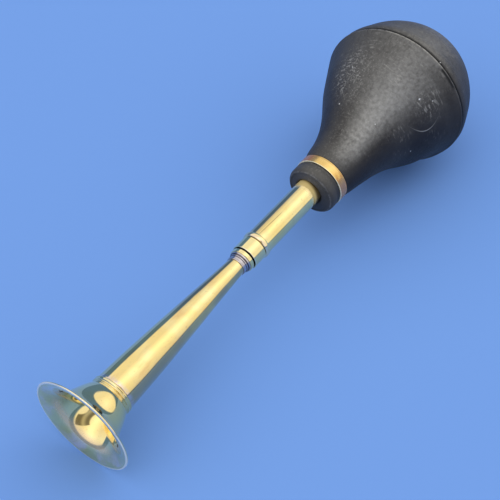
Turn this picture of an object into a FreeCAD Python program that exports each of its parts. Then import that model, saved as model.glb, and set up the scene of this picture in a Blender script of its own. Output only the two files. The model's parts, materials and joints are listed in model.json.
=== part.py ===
"""Straight brass bulb horn, made piece by piece.

A spun bell is soldered to a tapering trumpet. The trumpet ends in a stepped collar that holds the
reed and carries a male thread. A union nut on the swivelling tail of a straight tube screws onto
that thread, and the tube carries a rubber bulb moulded in two halves, clipped round its neck.

Lengths are in millimetres. Each piece is first built about the horn's own axis: x is zero at the
mouth and rises towards the bulb, and up is +Z. Every piece is then laid down by one placement, so
that the bell's rim and the bulb's girth touch z = 0, with the horn climbing a little to the bulb.
"""
import FreeCAD, Part
import math
import os

# Bell: spun sheet, flaring to a rolled edge over a wire
mouth_diameter = 72.8
bell_sheet = 0.4
rim_wire_diameter = 0.5
rim_wire_clearance = 0.03
rim_roll_turn = 250.0
flare_length = 24.6
flare_end_diameter = 30.0
flare_shares = [
    (0.0, 1.0), (0.04, 0.775), (0.13, 0.575), (0.285, 0.4), (0.488, 0.265), (0.732, 0.145), (1.0, 0.0),
]
flare_mouth_pull = 22.0
flare_end_slope_share = -0.42
sheet_stations = 17

# Joint of bell and trumpet: both ends meet under a short band with a bead at each end
joint_spigot_diameter = 28.0
joint_spigot_length = 2.9
joint_band_length = 5.6
joint_band_wall = 0.5
joint_bead_width = 1.3
joint_bead_height = 0.35

# Trumpet: a tapering tube of rolled sheet, a little swollen in its middle
trumpet_wide_diameter = 28.6
trumpet_narrow_diameter = 13.0
trumpet_wall = 0.7
trumpet_end = 153.0
trumpet_shares = [(0.0, 1.0), (0.2, 0.86), (0.446, 0.62), (0.69, 0.34), (0.853, 0.16), (1.0, 0.0)]

# Collar: turned, soldered on the trumpet's narrow end, with a male thread at its back
collar_length = 5.6
collar_socket_depth = 4.0
collar_passage_diameter = 9.2
collar_step_shares = [(0.16, 0.3), (0.5, 0.2), (0.66, 0.44), (0.76, 0.3), (1.0, 0.74)]
thread_diameter = 15.3
thread_length = 6.5
collar_ring_width = 2.8
collar_ring_diameter = 17.5
solder_gap = 0.02

# Coupling: the union nut turns on the swivel tail and draws it to the collar
nut_diameter = 19.1
nut_length = 10.9
nut_lip_length = 2.2
nut_edge = 0.4
coupling_gap = 0.9
bead_gap = 0.6
running_gap = 0.05
chamber_gap = 0.15
washer_thickness = 1.3
washer_bore_diameter = 11.2
tail_flange_diameter = 16.6
tail_flange_thickness = 1.5
tail_neck_diameter = 14.0
tail_bore_diameter = 10.8
tail_reach_in_tube = 6.0

# Straight tube, with a raised bead at the front and a rolled one inside the rubber neck
tube_diameter = 19.05
tube_wall = 0.8
tube_bead_width = 3.6
tube_bead_height = 0.875
tube_bead_side_height = 0.45
tube_bead_web = 1.4
tube_end = 255.0
barb_height = 0.7
barb_width = 3.0
barb_setback = 1.0

# Reed: a plug in the collar, a half-round shallot and a tongue clamped on its flat face
reed_plug_diameter = 10.4
reed_plug_length = 10.8
reed_plug_bore = 5.2
reed_seat_share = 0.3
shallot_diameter = 8.0
shallot_spigot_length = 4.0
shallot_length = 25.5
shallot_face_height = 0.8
shallot_chamber_diameter = 6.0
shallot_inlet_diameter = 3.6
shallot_inlet_drop = 1.2
shallot_end_wall = 1.5
tongue_width = 6.8
tongue_thickness = 0.25
tongue_gap = 0.15
tongue_tail = 4.0
tongue_overlap = 0.6
tongue_lift = 2.0
clamp_length = 4.6
clamp_width = 6.4
clamp_thickness = 0.8
clamp_setback = 0.4
screw_diameter = 1.6
screw_head_diameter = 2.8
screw_head_height = 0.9
screw_slot_width = 0.4
screw_slot_depth = 0.45
screw_spread = 3.8
screw_depth = 2.0
screw_hole_gap = 0.2

# Rubber bulb: neck with a clip seat and flaring front half, then the rear dome
neck_front = 233.8
neck_lip_length = 10.1
neck_lip_diameter = 37.3
neck_lip_round = 0.9
neck_mouth_diameter = 22.4
neck_mouth_depth = 2.4
clip_seat_length = 8.0
clip_seat_diameter = 36.3
clip_side_gap = 0.5
clip_thickness = 0.9
clip_lap_thickness = 0.8
clip_lap_turn = 22.0
clip_edge = 0.25
shoulder_diameter = 37.1
girth_diameter = 111.6
seam_place = 345.3
seam_lip_width = 2.4
seam_lip_height = 0.5
seam_step = 0.45
dome_length = 54.3
rubber_wall = 4.0
neck_bore_overrun = 2.0
front_shares = [
    (0.0, 1.0), (0.06, 0.965), (0.15, 0.929), (0.24, 0.879), (0.33, 0.816), (0.42, 0.734), (0.51, 0.635),
    (0.6, 0.518), (0.69, 0.391), (0.78, 0.273), (0.88, 0.148), (0.95, 0.06), (1.0, 0.0),
]
throat_shares = [(0.06, 0.07), (0.14, 0.2)]
throat_join_share = 0.24
dome_shares = [
    (0.2, 0.966), (0.4, 0.896), (0.6, 0.785), (0.75, 0.66), (0.87, 0.5), (0.95, 0.33), (0.985, 0.2),
]
rest_flat_depth = 0.5

# Amounts by which a cutting shape runs past what it cuts
overrun = 1.0
full_turn = 360.0

# Places along the axis, each worked out from the one before it
AXIS_START = FreeCAD.Vector(0, 0, 0)
ALONG = FreeCAD.Vector(1, 0, 0)
rim_roll_radius = rim_wire_diameter / 2 + rim_wire_clearance + bell_sheet
rim_circle_radius = mouth_diameter / 2 - rim_roll_radius
joint_meet = flare_length + joint_spigot_length
trumpet_start = flare_length + joint_band_length
collar_back = trumpet_end + collar_length
ring_back = collar_back + collar_ring_width
nut_front = ring_back + coupling_gap
thread_end = ring_back + thread_length
washer_back = thread_end + washer_thickness
flange_back = washer_back + tail_flange_thickness
nut_back = nut_front + nut_length
bead_front = nut_back + bead_gap
tube_start = bead_front + tube_bead_web
bead_back = bead_front + tube_bead_width
socket_end = trumpet_end + collar_socket_depth
plug_front = socket_end + (thread_end - socket_end) * reed_seat_share
plug_back = plug_front + reed_plug_length
shallot_front = plug_back - shallot_spigot_length
shallot_back = plug_back + shallot_length
chamber_front = plug_back + clamp_setback + clamp_length + clamp_setback
clip_seat_front = neck_front + neck_lip_length
clip_seat_back = clip_seat_front + clip_seat_length
neck_bore_end = tube_end + neck_bore_overrun


def lean():
    """The climb of the horn's axis, in degrees, with the bell's rim and the bulb's flat both on z = 0."""
    run = seam_place - seam_lip_width / 2 - rim_roll_radius
    rise = girth_diameter / 2 - rim_circle_radius
    slack = rest_flat_depth + rim_roll_radius
    return math.degrees(math.atan2(rise, run) - math.asin(slack / math.hypot(run, rise)))


def resting_place():
    """The one placement that lays every piece down, with the origin under the middle of the horn's box."""
    angle = math.radians(lean())
    height = rim_circle_radius * math.cos(angle) + rim_roll_radius - rim_roll_radius * math.sin(angle)
    low_x = rim_roll_radius * math.cos(angle) - rim_circle_radius * math.sin(angle) - rim_roll_radius
    dome_reach = math.hypot(dome_length * math.cos(angle), girth_diameter / 2 * math.sin(angle))
    high_x = seam_place * math.cos(angle) + dome_reach
    middle = FreeCAD.Vector(-(low_x + high_x) / 2, 0, height)
    return FreeCAD.Placement(middle, FreeCAD.Rotation(FreeCAD.Vector(0, 1, 0), -lean()))


def at(x, radius):
    """A point of a turned outline: x along the axis, and its radius."""
    return FreeCAD.Vector(x, 0, radius)


def line(start, end):
    return Part.LineSegment(start, end).toShape()


def arc(start, middle, end):
    return Part.Arc(start, middle, end).toShape()


def smooth(points, start_tangent=None, end_tangent=None):
    """A smooth curve through the points, with its end directions where they are given."""
    curve = Part.BSplineCurve()
    if start_tangent is None:
        curve.interpolate(points)
    else:
        curve.interpolate(Points=points, InitialTangent=start_tangent, FinalTangent=end_tangent)
    return curve


def polygon(points):
    """The edges that join the points in order."""
    return [line(a, b) for a, b in zip(points, points[1:])]


def turned(edges):
    """The solid that a closed outline sweeps in one full turn about the axis."""
    wire = Part.Wire(Part.__sortEdges__(edges))
    solid = Part.Face(wire).revolve(AXIS_START, ALONG, full_turn)
    return Part.Solid(solid.Shells[0]) if solid.ShapeType != "Solid" else solid


def turned_ring(corners):
    """A turned solid with a straight-sided outline, from its corners as (x, radius)."""
    points = [at(x, radius) for x, radius in corners]
    return turned(polygon(points + points[:1]))


def rod(diameter, start, end, height=0.0):
    """A cylinder along the axis, raised from it by height."""
    return Part.makeCylinder(diameter / 2, end - start, FreeCAD.Vector(start, 0, height), ALONG)


def tube(outer_diameter, inner_diameter, start, end):
    outer = rod(outer_diameter, start, end)
    return outer.cut(rod(inner_diameter, start - overrun, end + overrun))


def block(start, end, width, low, high):
    """A box along the axis, centred across it, between two heights."""
    return Part.makeBox(end - start, width, high - low, FreeCAD.Vector(start, -width / 2, low))


def between(start, end, low, high, shares):
    """Outline points from shares: how far along from start to end, and how much of high is left over low."""
    return [at(start + (end - start) * along, low + (high - low) * left) for along, left in shares]


def flare_back_curve():
    """The bell's outside, from just behind the rolled edge to the joint."""
    points = between(bell_sheet, flare_length, flare_end_diameter / 2, rim_circle_radius, flare_shares)
    inwards = FreeCAD.Vector(0, 0, -flare_mouth_pull)
    along = FreeCAD.Vector(flare_length, 0, flare_length * flare_end_slope_share)
    return smooth(points, inwards, along)


def flare_front_points(back):
    """The bell's inside: the outside moved in by the sheet's thickness, square to it."""
    points = []
    for station in range(sheet_stations):
        share = station / (sheet_stations - 1)
        place = back.FirstParameter + (back.LastParameter - back.FirstParameter) * share
        tangent = back.tangent(place)[0]
        square = FreeCAD.Vector(tangent.z, 0, -tangent.x)
        points.append(back.value(place) + square * bell_sheet)
    return points


def roll_point(radius, turn):
    """A point of the rolled edge's section, turned from the mouth's plane outwards and back."""
    angle = math.radians(turn)
    return at(rim_roll_radius - radius * math.cos(angle), rim_circle_radius + radius * math.sin(angle))


def bell_flare():
    back = flare_back_curve()
    front = flare_front_points(back)
    inner_roll = rim_roll_radius - bell_sheet
    spigot = joint_spigot_diameter / 2
    step_front = flare_length - bell_sheet
    outside = polygon([back.EndPoint, at(flare_length, spigot), at(joint_meet, spigot)])
    inside = polygon([at(joint_meet, spigot - bell_sheet), at(step_front, spigot - bell_sheet), front[-1]])
    curl_out = arc(*[roll_point(rim_roll_radius, rim_roll_turn * share) for share in (0, 0.5, 1)])
    curl_in = arc(*[roll_point(inner_roll, rim_roll_turn * share) for share in (0, 0.5, 1)])
    front[0] = roll_point(rim_roll_radius, 0)
    ends = [line(roll_point(rim_roll_radius, rim_roll_turn), roll_point(inner_roll, rim_roll_turn)),
            line(at(joint_meet, spigot), at(joint_meet, spigot - bell_sheet))]
    return turned([back.toShape(), smooth(front).toShape(), curl_out, curl_in] + outside + inside + ends)


def rim_wire():
    centre = FreeCAD.Vector(rim_roll_radius, 0, 0)
    return Part.makeTorus(rim_circle_radius, rim_wire_diameter / 2, centre, ALONG)


def joint_band():
    """A band with a rounded bead at each end, over the butted ends of bell and trumpet."""
    inner = joint_spigot_diameter / 2
    outer = inner + joint_band_wall
    crest = outer + joint_bead_height
    front = flare_length
    back = front + joint_band_length
    half = joint_bead_width / 2
    first = arc(at(front, outer), at(front + half, crest), at(front + joint_bead_width, outer))
    last = arc(at(back - joint_bead_width, outer), at(back - half, crest), at(back, outer))
    middle = line(at(front + joint_bead_width, outer), at(back - joint_bead_width, outer))
    sides = polygon([at(back, outer), at(back, inner), at(front, inner), at(front, outer)])
    return turned([first, middle, last] + sides)


def trumpet_cone():
    wide, narrow = trumpet_wide_diameter / 2, trumpet_narrow_diameter / 2
    spigot = joint_spigot_diameter / 2
    outer = between(trumpet_start, trumpet_end, narrow, wide, trumpet_shares)
    inner = [at(point.x, point.z - trumpet_wall) for point in outer]
    outside = polygon([outer[0], at(trumpet_start, spigot), at(joint_meet, spigot)])
    inside = polygon([at(joint_meet, spigot - trumpet_wall), inner[0]])
    tip = [outer[-1], at(socket_end, narrow), at(socket_end, narrow - trumpet_wall), inner[-1]]
    butt = [line(at(joint_meet, spigot), at(joint_meet, spigot - trumpet_wall))]
    return turned([smooth(outer).toShape(), smooth(inner).toShape()] + outside + inside + polygon(tip) + butt)


def stepped_collar():
    """Socket for the trumpet, small turned steps outside, and the male thread with the reed's socket."""
    low = trumpet_narrow_diameter / 2
    high = collar_ring_diameter / 2
    corners = [(trumpet_end, low + solder_gap)]
    start = 0.0
    for end, height in collar_step_shares:
        radius = low + (high - low) * height
        corners += [(trumpet_end + collar_length * place, radius) for place in (start, end)]
        start = end
    corners += [(collar_back, thread_diameter / 2), (thread_end, thread_diameter / 2)]
    corners += [(thread_end, reed_plug_diameter / 2), (plug_front, reed_plug_diameter / 2)]
    corners += [(plug_front, collar_passage_diameter / 2)]
    corners += [(socket_end, collar_passage_diameter / 2), (socket_end, low + solder_gap)]
    return turned_ring(corners)


def collar_ring():
    return tube(collar_ring_diameter, thread_diameter + 2 * solder_gap, collar_back, ring_back)


def coupling_nut():
    """Plain sleeve: threaded bore, a chamber for the tail's flange, and a lip that pulls on it."""
    outer = nut_diameter / 2
    thread = thread_diameter / 2 + running_gap
    chamber = tail_flange_diameter / 2 + chamber_gap
    lip = tail_neck_diameter / 2 + running_gap
    lip_front = nut_back - nut_lip_length
    chamber_start = washer_back - chamber_gap
    return turned_ring([
        (nut_front, thread), (nut_front, outer - nut_edge), (nut_front + nut_edge, outer),
        (nut_back - nut_edge, outer), (nut_back, outer - nut_edge), (nut_back, lip),
        (lip_front, lip), (lip_front, chamber), (chamber_start, chamber), (chamber_start, thread),
    ])


def sealing_washer():
    return tube(thread_diameter, washer_bore_diameter, thread_end, washer_back)


def swivel_tail():
    neck_end = bead_front + tail_reach_in_tube
    flange = rod(tail_flange_diameter, washer_back, flange_back)
    neck = rod(tail_neck_diameter, washer_back, neck_end)
    bore = rod(tail_bore_diameter, washer_back - overrun, neck_end + overrun)
    return flange.fuse(neck).cut(bore).removeSplitter()


def tube_bead():
    """Raised ring with a web: the tail is soldered in its web, and the tube's end in its socket."""
    web = tail_neck_diameter / 2 + solder_gap
    socket = tube_diameter / 2 + solder_gap
    crest = tube_diameter / 2 + tube_bead_height
    side = tube_diameter / 2 + tube_bead_side_height
    middle = (bead_front + bead_back) / 2
    crown = arc(at(bead_front, side), at(middle, crest), at(bead_back, side))
    behind = [at(bead_back, side), at(bead_back, socket), at(tube_start, socket)]
    before = [at(tube_start, web), at(bead_front, web), at(bead_front, side)]
    return turned([crown] + polygon(behind + before))


def barb_outline():
    """The rolled bead's outline near the tube's end, which the rubber neck follows."""
    radius = tube_diameter / 2
    back = tube_end - barb_setback
    front = back - barb_width
    return arc(at(front, radius), at((front + back) / 2, radius + barb_height), at(back, radius))


def bulb_tube():
    radius = tube_diameter / 2
    bore = radius - tube_wall
    back = tube_end - barb_setback
    front = back - barb_width
    behind = [at(back, radius), at(tube_end, radius), at(tube_end, bore)]
    before = [at(tube_start, bore), at(tube_start, radius), at(front, radius)]
    return turned([barb_outline()] + polygon(behind + before))


def reed_plug():
    plug = tube(reed_plug_diameter, reed_plug_bore, plug_front, plug_back)
    return plug.cut(rod(shallot_diameter, shallot_front, plug_back + overrun))


def screw_places():
    x = plug_back + clamp_setback + clamp_length / 2
    return [FreeCAD.Vector(x, side * screw_spread / 2, 0) for side in (-1, 1)]


def upright(diameter, place, low, high):
    """A standing cylinder at a place, between two heights."""
    base = FreeCAD.Vector(place.x, place.y, low)
    return Part.makeCylinder(diameter / 2, high - low, base, FreeCAD.Vector(0, 0, 1))


def reed_shallot():
    """Round spigot in the plug, then a half-round trough with a flat face and a closed back end."""
    body = rod(shallot_diameter, shallot_front, shallot_back)
    top = shallot_diameter / 2 + overrun
    body = body.cut(block(plug_back, shallot_back + overrun, 2 * top, shallot_face_height, top))
    inlet = rod(shallot_inlet_diameter, shallot_front - overrun, chamber_front + overrun, -shallot_inlet_drop)
    chamber = rod(shallot_chamber_diameter, chamber_front, shallot_back - shallot_end_wall)
    body = body.cut(inlet).cut(chamber)
    for place in screw_places():
        body = body.cut(upright(screw_diameter, place, shallot_face_height - screw_depth, top))
    return body


def tongue_low():
    return shallot_face_height + tongue_gap


def tongue_hinge():
    """The edge of the clamp, where the tongue starts to bend, on the horn's own axes."""
    x = plug_back + clamp_setback + clamp_length
    return FreeCAD.Vector(x, 0, tongue_low() + tongue_thickness / 2)


def reed_tongue():
    """Thin strip: its tail lies under the clamp, and its blade stands open over the trough by its lift."""
    hinge = tongue_hinge()
    low, high = tongue_low(), tongue_low() + tongue_thickness
    tail = block(hinge.x - tongue_tail, hinge.x, tongue_width, low, high)
    blade_end = shallot_back - shallot_end_wall + tongue_overlap
    blade = block(hinge.x, blade_end, tongue_width, low, high)
    blade.rotate(hinge, FreeCAD.Vector(0, 1, 0), -tongue_lift)
    tongue = tail.fuse(blade)
    hole = screw_diameter + 2 * screw_hole_gap
    for place in screw_places():
        tongue = tongue.cut(upright(hole, place, low - overrun, high + overrun))
    return tongue.removeSplitter()


def clamp_low():
    return tongue_low() + tongue_thickness + tongue_gap


def reed_clamp():
    start = plug_back + clamp_setback
    low, high = clamp_low(), clamp_low() + clamp_thickness
    plate = block(start, start + clamp_length, clamp_width, low, high)
    hole = screw_diameter + 2 * solder_gap
    for place in screw_places():
        plate = plate.cut(upright(hole, place, low - overrun, high + overrun))
    return plate


def reed_screws():
    """Two slotted cheese-head screws down through the clamp and the tongue's holes into the shallot."""
    screws = []
    seat = clamp_low() + clamp_thickness
    top = seat + screw_head_height
    for place in screw_places():
        foot = shallot_face_height - screw_depth
        shank = upright(screw_diameter, place, foot, seat + screw_head_height / 2)
        head = upright(screw_head_diameter, place, seat, top)
        reach = screw_head_diameter / 2 + overrun
        corner = FreeCAD.Vector(place.x - screw_slot_width / 2, place.y - reach, top - screw_slot_depth)
        slot = Part.makeBox(screw_slot_width, 2 * reach, screw_slot_depth + overrun, corner)
        screws.append(shank.fuse(head).cut(slot).removeSplitter())
    return Part.makeCompound(screws)


def neck_band():
    """Brass strip clip in the neck's seat, its outer end lapped over underneath and soldered down."""
    inner = clip_seat_diameter / 2
    outer = inner + clip_thickness
    front = clip_seat_front + clip_side_gap
    back = clip_seat_back - clip_side_gap
    strip = turned_ring([
        (front, inner), (front, outer - clip_edge), (front + clip_edge, outer),
        (back - clip_edge, outer), (back, outer - clip_edge), (back, inner),
    ])
    lap_outer = outer + clip_lap_thickness
    lapped = tube(2 * lap_outer, 2 * (outer - clip_edge), front + clip_edge, back - clip_edge)
    start = FreeCAD.Vector(front, 0, 0)
    wedge = Part.makeCylinder(lap_outer + overrun, back - front, start, ALONG, clip_lap_turn)
    downwards = wedge.CenterOfMass
    turn = math.degrees(math.atan2(-downwards.y, -downwards.z))
    wedge.rotate(AXIS_START, ALONG, turn)
    return strip.fuse(lapped.common(wedge)).removeSplitter()


def front_outer_points():
    start_radius = shoulder_diameter / 2
    crest = girth_diameter / 2 - seam_lip_height
    end = seam_place - seam_lip_width
    return between(clip_seat_back, end, crest, start_radius, front_shares)


def front_inner_points():
    """The inside of the front half: a throat opening from the neck's bore, then a wall below the outside."""
    bore = tube_diameter / 2
    outer = front_outer_points()
    end_radius = outer[-1].z - rubber_wall
    run, rise = seam_place - neck_bore_end, end_radius - bore
    throat = [at(neck_bore_end + run * along, bore + rise * up) for along, up in throat_shares]
    join = clip_seat_back + (seam_place - clip_seat_back) * throat_join_share
    walls = [at(point.x, point.z - rubber_wall) for point in outer if point.x > join]
    return [at(neck_bore_end, bore)] + throat + walls + [at(seam_place, end_radius)]


def bulb_front():
    """Neck, clip seat and flaring front half, open at the seam, with a lip proud of the rear half."""
    bore = tube_diameter / 2
    lip = neck_lip_diameter / 2
    seat = clip_seat_diameter / 2
    outer = front_outer_points()
    inner = front_inner_points()
    crest = girth_diameter / 2
    seam_radius = crest - seam_lip_height / 2
    bend = neck_lip_round * (1 - math.sqrt(0.5))
    mouth = neck_mouth_diameter / 2
    barb_back = tube_end - barb_setback
    face_edge, lip_front = at(neck_front, lip - neck_lip_round), at(neck_front + neck_lip_round, lip)
    clip_seat = [at(clip_seat_front, lip), at(clip_seat_front, seat), at(clip_seat_back, seat)]
    seam_crest, seam_edge = at(seam_place - seam_lip_width / 2, crest), at(seam_place, seam_radius)
    bore_mouth = [at(neck_front + neck_mouth_depth, bore), at(neck_front, mouth)]
    edges = [line(at(neck_front, mouth), face_edge)]
    edges += [arc(face_edge, at(neck_front + bend, lip - bend), lip_front)]
    edges += polygon([lip_front] + clip_seat + [outer[0]])
    edges += [smooth(outer).toShape(), arc(outer[-1], seam_crest, seam_edge)]
    edges += [line(seam_edge, inner[-1]), smooth(inner).toShape()]
    edges += [line(inner[0], at(barb_back, bore)), barb_outline()]
    edges += polygon([at(barb_back - barb_width, bore)] + bore_mouth)
    return turned(edges)


def dome_curve(radius, length):
    """The dome's outline from the seam to its pole, square to the seam and closed flat at the pole."""
    points = [at(seam_place, radius)]
    points += [at(seam_place + length * along, radius * left) for along, left in dome_shares]
    points += [at(seam_place + length, 0)]
    return smooth(points, FreeCAD.Vector(length, 0, 0), FreeCAD.Vector(0, 0, -radius))


def bulb_rear():
    """The rear dome, a little smaller than the front half's lip at the seam."""
    radius = girth_diameter / 2 - seam_step
    inside = girth_diameter / 2 - seam_lip_height - rubber_wall
    outer = dome_curve(radius, dome_length).toShape()
    inner = dome_curve(inside, dome_length - rubber_wall).toShape()
    pole = line(at(seam_place + dome_length - rubber_wall, 0), at(seam_place + dome_length, 0))
    face = line(at(seam_place, inside), at(seam_place, radius))
    return turned([outer, pole, inner, face])


def above_rest(solid):
    """The laid-down solid, with what would sink below the surface cut flat."""
    size = 2 * girth_diameter + 2 * seam_place
    below = Part.makeBox(size, size, size, FreeCAD.Vector(-size / 2, -size / 2, -size))
    return solid.cut(below)


PIECES = [
    bell_flare, rim_wire, joint_band, trumpet_cone, stepped_collar, collar_ring, coupling_nut,
    sealing_washer, swivel_tail, tube_bead, bulb_tube, reed_plug, reed_shallot, reed_tongue, reed_clamp,
    reed_screws, neck_band, bulb_front, bulb_rear,
]


def main():
    os.makedirs("parts", exist_ok=True)
    place = resting_place()
    print("lean", round(lean(), 3), "degrees, laid at", place.Base)
    for make in PIECES:
        solid = make()
        solid.transformShape(place.toMatrix(), True)
        if make is bulb_front:
            solid = above_rest(solid)
        if not solid.isValid():
            print("not valid:", make.__name__)
        print(make.__name__, len(solid.Solids), "solids", round(solid.Volume, 1), "cubic mm")
        solid.exportStep("parts/" + make.__name__ + ".step")


if __name__ == "__main__":
    main()
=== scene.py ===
"""A straight brass bulb horn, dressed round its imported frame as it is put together.

Sizes are in millimetres along and about the horn's own axis: x runs from the bell's mouth to the bulb,
and an angle starts at the top and turns towards the frame's +Y side. Each mesh is placed in metres.
"""
import bpy
import json
import math
import numpy as np
from mathutils import Matrix


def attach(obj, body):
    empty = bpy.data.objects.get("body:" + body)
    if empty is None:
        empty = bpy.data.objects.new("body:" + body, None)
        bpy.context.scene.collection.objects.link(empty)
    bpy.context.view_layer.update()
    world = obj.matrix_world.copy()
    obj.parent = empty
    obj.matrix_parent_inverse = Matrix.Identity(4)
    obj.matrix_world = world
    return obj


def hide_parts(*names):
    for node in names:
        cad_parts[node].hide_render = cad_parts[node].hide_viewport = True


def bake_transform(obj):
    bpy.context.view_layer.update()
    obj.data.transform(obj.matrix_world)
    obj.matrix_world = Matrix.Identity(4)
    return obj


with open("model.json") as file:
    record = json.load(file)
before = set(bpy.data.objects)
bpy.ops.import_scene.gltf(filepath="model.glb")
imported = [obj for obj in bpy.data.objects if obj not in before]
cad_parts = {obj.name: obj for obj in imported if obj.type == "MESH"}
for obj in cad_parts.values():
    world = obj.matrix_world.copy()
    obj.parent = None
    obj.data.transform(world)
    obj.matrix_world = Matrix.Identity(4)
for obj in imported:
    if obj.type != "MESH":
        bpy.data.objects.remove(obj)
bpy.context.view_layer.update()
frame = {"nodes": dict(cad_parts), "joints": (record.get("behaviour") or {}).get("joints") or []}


# The horn lies on its bell's rim and its bulb, so its axis climbs a little. The union nut turns about that
# axis, so the nut's joint gives its direction. The mouth is the foremost point of the spun bell.
METRES = 0.001
nut_joint = next(joint for joint in frame["joints"] if joint["name"] == "nut_turn")
along = np.array(nut_joint["axis"]) / np.linalg.norm(nut_joint["axis"])
aside = np.array([0.0, 1.0, 0.0])
upright = np.cross(along, aside)


def node_points(node):
    """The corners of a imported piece, one row of x, y and z each, in metres."""
    mesh = frame["nodes"][node].data
    flat = np.zeros(len(mesh.vertices) * 3)
    mesh.vertices.foreach_get("co", flat)
    return flat.reshape(-1, 3)


mouth_along = ((node_points("bell_flare") - nut_joint["pos_m"]) @ along).min()
mouth_centre = np.array(nut_joint["pos_m"]) + mouth_along * along


def reach(node):
    """Front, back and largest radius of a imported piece, in mm: its points' lengths along and off the axis."""
    offsets = (node_points(node) - mouth_centre) / METRES
    lengths = offsets @ along
    radii = np.linalg.norm(offsets - np.outer(lengths, along), axis=1)
    return lengths.min(), lengths.max(), radii.max()


# Bell: soft brass sheet spun over a former into a flare, its edge rolled outwards and back over a wire.
# Behind it a short spigot takes the joint band. It is polished all over, inside too, and lacquered.
wire_clearance = 0.03
wire_front, wire_back, _ = reach("rim_wire")
bell_sheet = wire_front - wire_clearance
roll_radius = (wire_front + wire_back) / 2
roll_turn = math.radians(250)
flare_back_radius = 15.0
spigot_radius = 14.0
flare_shares = [(0.0, 1.0), (0.04, 0.775), (0.13, 0.575), (0.285, 0.4), (0.488, 0.265), (0.732, 0.152),
                (1.0, 0.0)]
flare_mouth_slope = (0.0, -1.0)
flare_end_slope = (0.86, -0.51)
fine_round = 256
flare_steps, roll_steps, roll_inner_steps = 90, 34, 26
same_place = 1e-6
_, joint_meet, mouth_radius = reach("bell_flare")
flare_back = reach("joint_band")[0]
roll_circle = mouth_radius - roll_radius


def smooth_line(points, count, start=None, end=None):
    """Points along a cubic spline: its parameter is the length of the straight runs between the given points,
    and its second derivatives solve one linear system. An end without a given slope is left free."""
    points = np.array(points, float)
    runs = np.hypot(*np.diff(points, axis=0).T)
    knots = np.concatenate([[0.0], np.cumsum(runs)])
    slopes = np.diff(points, axis=0) / runs[:, None]
    last = len(points) - 1
    system, right = np.eye(last + 1), np.zeros((last + 1, 2))
    inner = np.arange(1, last)
    system[inner, inner - 1] = runs[:-1] / 6
    system[inner, inner] = (runs[:-1] + runs[1:]) / 3
    system[inner, inner + 1] = runs[1:] / 6
    right[inner] = slopes[1:] - slopes[:-1]
    if start is not None:
        system[0, :2] = runs[0] / 3, runs[0] / 6
        right[0] = slopes[0] - start
    if end is not None:
        system[last, -2:] = runs[-1] / 6, runs[-1] / 3
        right[last] = end - slopes[-1]
    bends = np.linalg.solve(system, right)
    place = np.linspace(0, knots[-1], count)
    run = np.clip(np.searchsorted(knots, place, side="right") - 1, 0, last - 1)
    width = runs[run][:, None]
    after = (place - knots[run])[:, None] / width
    before = 1 - after
    curved = (before ** 3 - before) * bends[run] + (after ** 3 - after) * bends[run + 1]
    return before * points[run] + after * points[run + 1] + curved * width ** 2 / 6


def between(start, end, low, high, shares):
    """Outline points from shares: how far from start to end, and how much of high is left over low."""
    return [(start + (end - start) * far, low + (high - low) * left) for far, left in shares]


def offset_line(line, distance):
    """The line moved sideways by the distance: each point goes along its tangent turned a quarter left."""
    tangent = np.gradient(line, axis=0)
    tangent /= np.hypot(*tangent.T)[:, None]
    return line + distance * np.stack([-tangent[:, 1], tangent[:, 0]], axis=1)


def ring_arc(centre, radius, first, last, count):
    """Points of a circle's arc in the outline's plane, from one angle to another, both from the +x side."""
    angles = np.linspace(first, last, count)
    return np.array(centre) + radius * np.stack([np.cos(angles), np.sin(angles)], axis=1)


def plain_turn(x, radius, angle):
    """Across and up from x, radius and angle: radius times the sine, and radius times the cosine."""
    return x, radius * np.sin(angle), radius * np.cos(angle)


def turned(name, outline, around, form=plain_turn):
    """A closed skin from an outline of x and radius, carried round the axis.

    Point (i, j) of the grid is outline point i turned by j shares of a full turn, and form gives its place
    along, across and up. An end on the axis is one pole point; otherwise the outline closes on itself."""
    outline = np.array(outline, float)
    keep = np.hypot(*(outline - np.roll(outline, 1, axis=0)).T) > same_place
    outline = outline[keep]
    x, radius = outline.T
    if np.sum(x * np.roll(radius, -1) - np.roll(x, -1) * radius) > 0:
        outline = outline[::-1]
        x, radius = outline.T
    poles = radius < same_place
    ring = outline[~poles]
    angles = np.linspace(0, 2 * math.pi, around, endpoint=False)
    grid = np.broadcast_arrays(ring[:, :1], ring[:, 1:], angles[None, :])
    points = np.stack(form(*grid), axis=-1).reshape(-1, 3)
    plain = np.stack(plain_turn(*grid), axis=-1).reshape(-1, 3)
    numbers = np.arange(len(ring) * around).reshape(len(ring), around)
    near = numbers if not poles.any() else numbers[:-1]
    far = np.roll(numbers, -1, axis=0) if not poles.any() else numbers[1:]
    faces = np.stack([near, far, np.roll(far, -1, axis=1), np.roll(near, -1, axis=1)], axis=-1)
    faces = faces.reshape(-1, 4).tolist()
    if poles.any():
        ends = np.stack(form(outline[poles][:, 0], outline[poles][:, 1], np.zeros(2)), axis=-1)
        points, plain = np.concatenate([points, ends]), np.concatenate([plain, ends])
        first, last = len(points) - 2, len(points) - 1
        head, tail = numbers[0], numbers[-1]
        faces += np.stack([np.full(around, first), head, np.roll(head, -1)], axis=-1).tolist()
        faces += np.stack([np.full(around, last), np.roll(tail, -1), tail], axis=-1).tolist()
    return made_object(name, points, faces, plain)


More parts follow.
